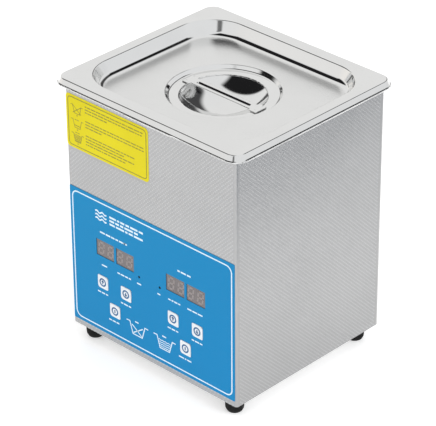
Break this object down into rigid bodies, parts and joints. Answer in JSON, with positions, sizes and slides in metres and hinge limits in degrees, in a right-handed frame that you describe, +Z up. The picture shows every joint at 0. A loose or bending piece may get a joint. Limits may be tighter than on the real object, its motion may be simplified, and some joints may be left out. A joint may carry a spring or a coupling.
{
  "type": "ultrasonic cleaner",
  "caption": "Bench-top ultrasonic cleaning bath: embossed stainless casing, heated drawn tank, lift-off tray lid with strap handle, front panel with displays and press keys, rubber feet.",
  "frame": {"origin": "on the surface that the feet stand on, below the middle of the body", "axes": "+Z up; the control panel faces -Y; +X is to the operator's right"},
  "size_m": [0.175, 0.159, 0.21],
  "materials": {
    "polished_steel": "mirror-polished drawn stainless sheet",
    "embossed_steel": "stainless sheet with a fine embossed diagonal dash pattern",
    "plain_steel": "satin stainless sheet",
    "zinc_steel": "bright zinc-plated hardware",
    "black_rubber": "matt moulded rubber",
    "clear_silicone": "translucent silicone seal",
    "blue_film": "semi-gloss printed polyester overlay",
    "yellow_label": "semi-gloss printed label",
    "display_face": "smoked grey display face with unlit segments",
    "lamp_lens": "diffused red lens, unlit",
    "key_white": "white printed key pad",
    "black_plastic": "moulded black thermoplastic",
    "board_green": "green solder-masked glass-fibre board",
    "pin_brass": "nickel-bright brass",
    "horn_aluminium": "turned aluminium",
    "piezo_ceramic": null,
    "back_steel": "blackened turned steel",
    "heater_silicone": "orange silicone heating mat",
    "capacitor_sleeve": "shrink-sleeved can",
    "film_box": "boxed film capacitor",
    "coil_tape": "polyester-taped winding",
    "relay_case": "moulded relay case",
    "fuse_glass": "clear glass tube",
    "lead_sleeve": "wire insulation",
    "earth_sleeve": "green and yellow wire insulation",
    "ribbon_grey": "flat ribbon cable",
    "epoxy": "cured epoxy"
  },
  "bodies": {
    "housing": {"tank": "polished_steel", "rim_gasket": "clear_silicone", "casing_wrap": "embossed_steel", "rear_panel": "plain_steel", "panel_screws": "zinc_steel", "base_plate": "plain_steel", "foot_front_left": "black_rubber", "foot_front_right": "black_rubber", "foot_rear_left": "black_rubber", "foot_rear_right": "black_rubber", "foot_screws": "zinc_steel", "foot_nuts": "zinc_steel", "control_film": "blue_film", "instruction_label": "yellow_label", "temperature_display": "display_face", "timer_display": "display_face", "heating_lamp": "lamp_lens", "timer_lamp": "lamp_lens", "key_switches": "black_plastic", "display_board": "board_green", "display_board_posts": "zinc_steel", "display_board_nuts": "zinc_steel", "bond_layer": "epoxy", "transducer_horn": "horn_aluminium", "electrode_plates": "pin_brass", "piezo_rings": "piezo_ceramic", "back_mass": "back_steel", "transducer_bolt": "zinc_steel", "heater_pads": "heater_silicone", "thermostat": "black_plastic", "temperature_sensor": "epoxy", "power_board": "board_green", "board_posts": "pin_brass", "board_screws": "zinc_steel", "toroid_transformer": "coil_tape", "heatsink": "horn_aluminium", "power_transistors": "black_plastic", "capacitors": "capacitor_sleeve", "film_capacitors": "film_box", "relay": "relay_case", "mains_inlet": "black_plastic", "inlet_pins": "pin_brass", "inlet_screws": "zinc_steel", "inlet_nuts": "zinc_steel", "earth_stud": "zinc_steel", "transducer_leads": "lead_sleeve", "heater_leads": "lead_sleeve", "mains_leads": "lead_sleeve", "earth_lead": "earth_sleeve", "ribbon_cable": "ribbon_grey"},
    "lid": {"lid_shell": "polished_steel", "lid_handle": "polished_steel"},
    "fuse_carrier": {"fuse_drawer": "black_plastic", "fuse": "fuse_glass"},
    "temp_up_button": {"temp_up_key": "key_white"},
    "temp_down_button": {"temp_down_key": "key_white"},
    "heater_power_button": {"heater_power_key": "key_white"},
    "time_up_button": {"time_up_key": "key_white"},
    "time_down_button": {"time_down_key": "key_white"},
    "timer_power_button": {"timer_power_key": "key_white"}
  },
  "joints": [
    {"name": "lid_lift", "type": "slide", "parent": "housing", "child": "lid", "axis": [0, 0, 1], "range_m": [0, 0.12]},
    {"name": "fuse_drawer_slide", "type": "slide", "parent": "housing", "child": "fuse_carrier", "axis": [0, 1, 0], "range_m": [0, 0.024]},
    {"name": "temp_up_key_press", "type": "slide", "parent": "housing", "child": "temp_up_button", "axis": [0, 1, 0], "range_m": [0, 0.00035], "stiffness_N_per_m": 2000, "springref_m": -0.0002},
    {"name": "temp_down_key_press", "type": "slide", "parent": "housing", "child": "temp_down_button", "axis": [0, 1, 0], "range_m": [0, 0.00035], "stiffness_N_per_m": 2000, "springref_m": -0.0002},
    {"name": "heater_power_key_press", "type": "slide", "parent": "housing", "child": "heater_power_button", "axis": [0, 1, 0], "range_m": [0, 0.00035], "stiffness_N_per_m": 2000, "springref_m": -0.0002},
    {"name": "time_up_key_press", "type": "slide", "parent": "housing", "child": "time_up_button", "axis": [0, 1, 0], "range_m": [0, 0.00035], "stiffness_N_per_m": 2000, "springref_m": -0.0002},
    {"name": "time_down_key_press", "type": "slide", "parent": "housing", "child": "time_down_button", "axis": [0, 1, 0], "range_m": [0, 0.00035], "stiffness_N_per_m": 2000, "springref_m": -0.0002},
    {"name": "timer_power_key_press", "type": "slide", "parent": "housing", "child": "timer_power_button", "axis": [0, 1, 0], "range_m": [0, 0.00035], "stiffness_N_per_m": 2000, "springref_m": -0.0002}
  ]
}
